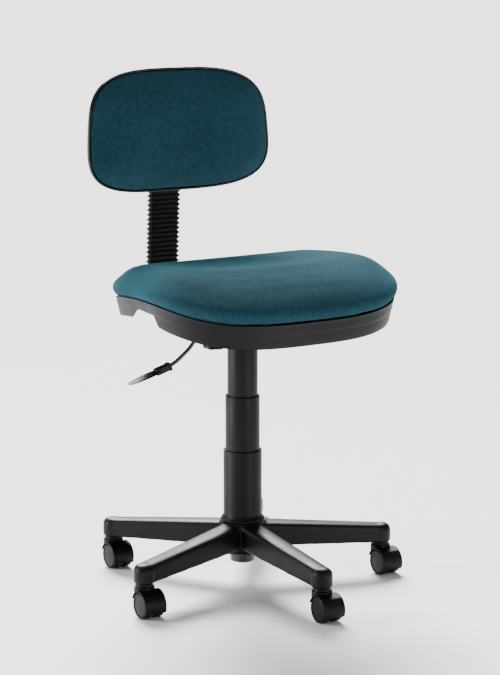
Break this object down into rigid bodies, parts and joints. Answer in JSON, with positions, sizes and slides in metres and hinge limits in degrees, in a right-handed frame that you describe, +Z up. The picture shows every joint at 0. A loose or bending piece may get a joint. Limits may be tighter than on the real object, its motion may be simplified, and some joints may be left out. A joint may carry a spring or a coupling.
{
  "type": "swivel office chair",
  "caption": "Armless swivel task chair: padded seat and low backrest on a flat bar, gas lift with telescopic cover, star base on twin-wheel casters.",
  "frame": {"origin": "on the floor directly under the gas column's axis", "axes": "+Z up, the sitter faces -Y, +X is the sitter's left"},
  "size_m": [0.5356, 0.6113, 0.9117],
  "materials": {
    "black_plastic": "black moulded plastic, satin",
    "gloss_black_plastic": "black moulded plastic, semi-gloss",
    "black_steel": "black powder coat",
    "bright_steel": "zinc plated steel",
    "plywood": "raw plywood",
    "teal_fabric": "teal woven wool-type cloth over foam",
    "bush_plastic": "acetal, natural",
    "bellows_rubber": "black ribbed rubber"
  },
  "bodies": {
    "base": {"star_base": "black_plastic", "lift_outer_tube": "black_steel", "lift_guide_bush": "bush_plastic", "lift_thrust_bearing": "bright_steel", "cover_lower": "black_plastic"},
    "cover_mid": {"cover_middle": "black_plastic"},
    "lift_rod": {"lift_piston_rod": "bright_steel", "lift_retaining_clip": "bright_steel"},
    "seat": {"lift_cylinder": "black_steel", "cover_upper": "black_plastic", "mechanism_plate": "black_steel", "seat_board": "plywood", "seat_cushion": "teal_fabric", "seat_shell": "black_plastic", "seat_bolt_1": "bright_steel", "seat_bolt_2": "bright_steel", "seat_bolt_3": "bright_steel", "seat_bolt_4": "bright_steel"},
    "release_pin": {"lift_release_pin": "bright_steel"},
    "lever": {"lever_rod": "black_steel", "lever_paddle": "black_plastic"},
    "back_arm": {"j_bar": "black_steel", "bellows": "bellows_rubber"},
    "depth_knob": {"depth_knob": "black_plastic", "depth_stud": "bright_steel"},
    "back_carrier": {"back_bracket": "black_steel", "tilt_pin": "bright_steel"},
    "height_knob": {"height_knob": "black_plastic", "height_stud": "bright_steel"},
    "backrest": {"back_hinge_plate": "black_steel", "back_board": "plywood", "back_cushion": "teal_fabric", "back_shell": "gloss_black_plastic", "back_screw_1": "bright_steel", "back_screw_2": "bright_steel"},
    "caster_1": {"caster_1_stem": "bright_steel", "caster_1_hood": "black_plastic", "caster_1_axle": "bright_steel"},
    "caster_1_right_wheel": {"caster_1_wheel_right": "black_plastic"},
    "caster_1_left_wheel": {"caster_1_wheel_left": "black_plastic"},
    "caster_2": {"caster_2_stem": "bright_steel", "caster_2_hood": "black_plastic", "caster_2_axle": "bright_steel"},
    "caster_2_right_wheel": {"caster_2_wheel_right": "black_plastic"},
    "caster_2_left_wheel": {"caster_2_wheel_left": "black_plastic"},
    "caster_3": {"caster_3_stem": "bright_steel", "caster_3_hood": "black_plastic", "caster_3_axle": "bright_steel"},
    "caster_3_right_wheel": {"caster_3_wheel_right": "black_plastic"},
    "caster_3_left_wheel": {"caster_3_wheel_left": "black_plastic"},
    "caster_4": {"caster_4_stem": "bright_steel", "caster_4_hood": "black_plastic", "caster_4_axle": "bright_steel"},
    "caster_4_right_wheel": {"caster_4_wheel_right": "black_plastic"},
    "caster_4_left_wheel": {"caster_4_wheel_left": "black_plastic"},
    "caster_5": {"caster_5_stem": "bright_steel", "caster_5_hood": "black_plastic", "caster_5_axle": "bright_steel"},
    "caster_5_right_wheel": {"caster_5_wheel_right": "black_plastic"},
    "caster_5_left_wheel": {"caster_5_wheel_left": "black_plastic"}
  },
  "joints": [
    {"name": "seat_swivel", "type": "hinge", "parent": "base", "child": "lift_rod", "pos_m": [0, 0, 0.05], "axis": [0, 0, 1], "continuous": true},
    {"name": "seat_height", "type": "slide", "parent": "lift_rod", "child": "seat", "axis": [0, 0, 1], "range_m": [-0.11, 0.02]},
    {"name": "cover_slide", "type": "slide", "parent": "base", "child": "cover_mid", "axis": [0, 0, 1], "range_m": [-0.056, 0.0105]},
    {"name": "lever_lift", "type": "hinge", "parent": "seat", "child": "lever", "pos_m": [-0.04, 0, 0.4778], "axis": [0, 1, 0], "range_deg": [0, 5], "stiffness_Nm_per_rad": 1, "springref_deg": -8.59},
    {"name": "pin_press", "type": "slide", "parent": "seat", "child": "release_pin", "axis": [0, 0, 1], "range_m": [-0.004, 0]},
    {"name": "back_depth", "type": "slide", "parent": "seat", "child": "back_arm", "axis": [0, 1, 0], "range_m": [-0.03, 0.02]},
    {"name": "depth_knob_turn", "type": "hinge", "parent": "seat", "child": "depth_knob", "pos_m": [0, 0.101, 0.43], "axis": [0, 0, -1], "range_deg": [0, 360]},
    {"name": "back_height", "type": "slide", "parent": "back_arm", "child": "back_carrier", "axis": [0, -0.061, 0.9981], "range_m": [-0.045, 0.015], "deforming": ["bellows"]},
    {"name": "height_knob_turn", "type": "hinge", "parent": "back_carrier", "child": "height_knob", "pos_m": [0, 0.28984, 0.76387], "axis": [0, 0.9981, 0.061], "range_deg": [0, 360]},
    {"name": "back_tilt", "type": "hinge", "parent": "back_carrier", "child": "backrest", "pos_m": [0, 0.28391, 0.78555], "axis": [1, 0, 0], "range_deg": [-6, 5]},
    {"name": "caster_1_swivel", "type": "hinge", "parent": "base", "child": "caster_1", "pos_m": [0, -0.26, 0.07], "axis": [0, 0, 1], "continuous": true},
    {"name": "caster_1_right_roll", "type": "hinge", "parent": "caster_1", "child": "caster_1_right_wheel", "pos_m": [-0.0127, -0.2765, 0.023], "axis": [1, 0, 0], "continuous": true},
    {"name": "caster_1_left_roll", "type": "hinge", "parent": "caster_1", "child": "caster_1_left_wheel", "pos_m": [0.0127, -0.2765, 0.023], "axis": [1, 0, 0], "continuous": true},
    {"name": "caster_2_swivel", "type": "hinge", "parent": "base", "child": "caster_2", "pos_m": [0.24727, -0.08034, 0.07], "axis": [0, 0, 1], "continuous": true},
    {"name": "caster_2_right_roll", "type": "hinge", "parent": "caster_2", "child": "caster_2_right_wheel", "pos_m": [0.23458, -0.09684, 0.023], "axis": [1, 0, 0], "continuous": true},
    {"name": "caster_2_left_roll", "type": "hinge", "parent": "caster_2", "child": "caster_2_left_wheel", "pos_m": [0.25998, -0.09684, 0.023], "axis": [1, 0, 0], "continuous": true},
    {"name": "caster_3_swivel", "type": "hinge", "parent": "base", "child": "caster_3", "pos_m": [0.15282, 0.21034, 0.07], "axis": [0, 0, 1], "continuous": true},
    {"name": "caster_3_right_roll", "type": "hinge", "parent": "caster_3", "child": "caster_3_right_wheel", "pos_m": [0.14012, 0.19384, 0.023], "axis": [1, 0, 0], "continuous": true},
    {"name": "caster_3_left_roll", "type": "hinge", "parent": "caster_3", "child": "caster_3_left_wheel", "pos_m": [0.16552, 0.19384, 0.023], "axis": [1, 0, 0], "continuous": true},
    {"name": "caster_4_swivel", "type": "hinge", "parent": "base", "child": "caster_4", "pos_m": [-0.15282, 0.21034, 0.07], "axis": [0, 0, 1], "continuous": true},
    {"name": "caster_4_right_roll", "type": "hinge", "parent": "caster_4", "child": "caster_4_right_wheel", "pos_m": [-0.16552, 0.19384, 0.023], "axis": [1, 0, 0], "continuous": true},
    {"name": "caster_4_left_roll", "type": "hinge", "parent": "caster_4", "child": "caster_4_left_wheel", "pos_m": [-0.14012, 0.19384, 0.023], "axis": [1, 0, 0], "continuous": true},
    {"name": "caster_5_swivel", "type": "hinge", "parent": "base", "child": "caster_5", "pos_m": [-0.24727, -0.08034, 0.07], "axis": [0, 0, 1], "continuous": true},
    {"name": "caster_5_right_roll", "type": "hinge", "parent": "caster_5", "child": "caster_5_right_wheel", "pos_m": [-0.25998, -0.09684, 0.023], "axis": [1, 0, 0], "continuous": true},
    {"name": "caster_5_left_roll", "type": "hinge", "parent": "caster_5", "child": "caster_5_left_wheel", "pos_m": [-0.23458, -0.09684, 0.023], "axis": [1, 0, 0], "continuous": true}
  ],
  "couplings": [
    {"joint": "cover_slide", "follows": "seat_height", "ratio": 0.5},
    {"joint": "pin_press", "follows": "lever_lift", "m_per_rad": -0.0425}
  ]
}
